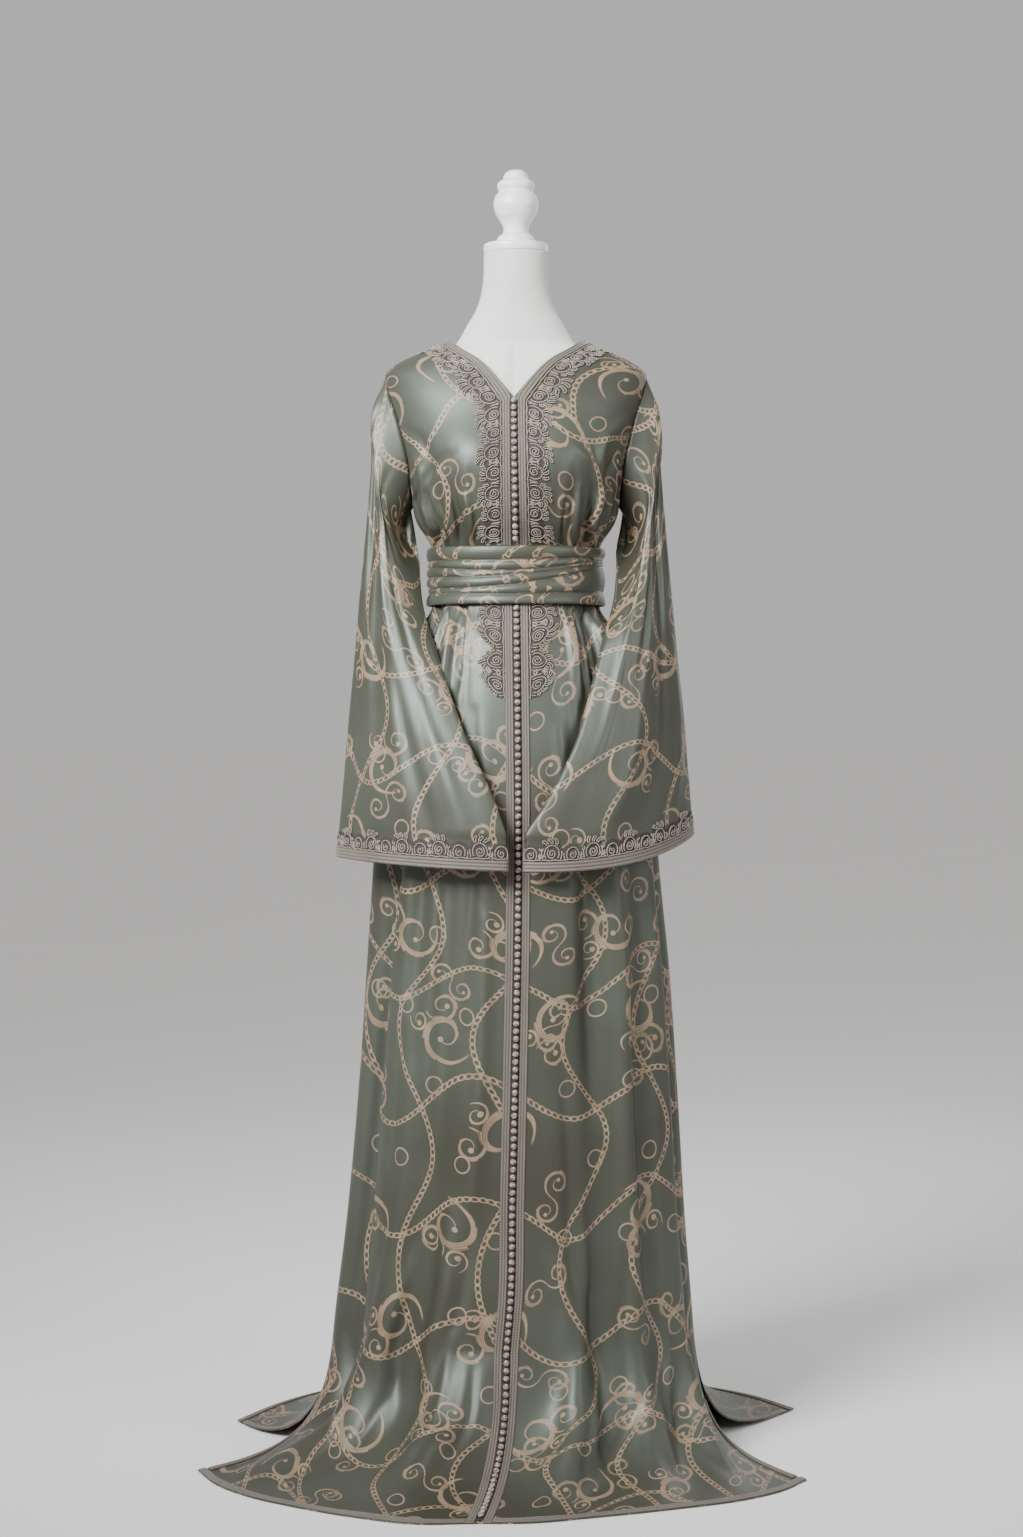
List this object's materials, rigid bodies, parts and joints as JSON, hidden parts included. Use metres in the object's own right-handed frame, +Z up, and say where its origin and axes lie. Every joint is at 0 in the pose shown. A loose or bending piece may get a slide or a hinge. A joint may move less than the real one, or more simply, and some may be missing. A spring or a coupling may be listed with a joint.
{
  "type": "kaftan on a dress form",
  "caption": "Full-length open-front kaftan with flared sleeves, knot buttons, raised braid and cord embroidery, side slits and a wrapped sash, worn by a limbless dress form on a round stand.",
  "frame": {"origin": "centre of the stand base's underside, on the floor", "axes": "+Z up, the garment's front faces -Y, the wearer's left is +X"},
  "size_m": [0.796, 0.7476, 1.692],
  "materials": {
    "satin": "sage green satin with a tan scroll and chain print",
    "braid": "taupe woven braid",
    "embroidery": "raised silver-taupe couched cord",
    "buttons": "silky knotted cord",
    "form_skin": "off-white linen cover",
    "painted_wood": "white satin paint"
  },
  "bodies": {
    "root": {"front_left": "satin", "front_right": "satin", "back": "satin", "sleeve_left": "satin", "sleeve_right": "satin", "belt": "satin", "front_braid_left": "braid", "front_braid_right": "braid", "neck_braid_back": "braid", "hem_braid_front_left": "braid", "hem_braid_front_right": "braid", "hem_braid_back": "braid", "cuff_braid_left": "braid", "cuff_braid_right": "braid", "bodice_embroidery_left": "embroidery", "bodice_embroidery_right": "embroidery", "skirt_embroidery_left": "embroidery", "skirt_embroidery_right": "embroidery", "cuff_embroidery_left": "embroidery", "cuff_embroidery_right": "embroidery", "buttons_bodice": "buttons", "buttons_skirt": "buttons", "form_torso": "form_skin", "form_cap": "painted_wood", "form_finial": "painted_wood", "stand_pole": "painted_wood", "stand_base": "painted_wood"}
  },
  "joints": []
}
